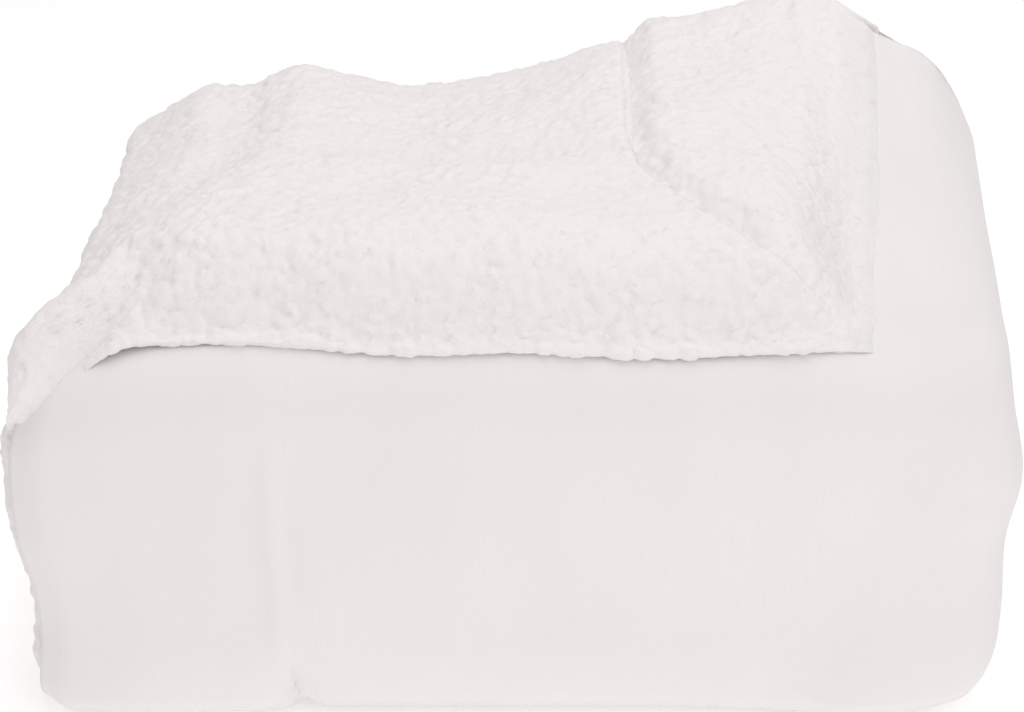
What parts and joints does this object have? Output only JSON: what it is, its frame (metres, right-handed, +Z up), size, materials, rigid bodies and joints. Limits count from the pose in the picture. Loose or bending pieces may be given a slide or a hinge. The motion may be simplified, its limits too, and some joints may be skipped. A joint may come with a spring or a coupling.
{
  "type": "folded sherpa fleece blanket",
  "caption": "Sherpa-backed fleece blanket folded into a loose stack, smooth side wrapped round the front and curly side laid over the top.",
  "frame": {"origin": "middle of the underside of the bounding box of the folded stack", "axes": "+X along the fold lines to the right, +Y from the smooth front to the rear folds, +Z up"},
  "size_m": [0.4214, 0.2824, 0.2419],
  "materials": {
    "flannel": "short brushed nap, matte with a soft sheen",
    "sherpa": "curly high pile, matte"
  },
  "bodies": {
    "root": {"flannel_panel": "flannel", "sherpa_panel": "sherpa"}
  },
  "joints": []
}
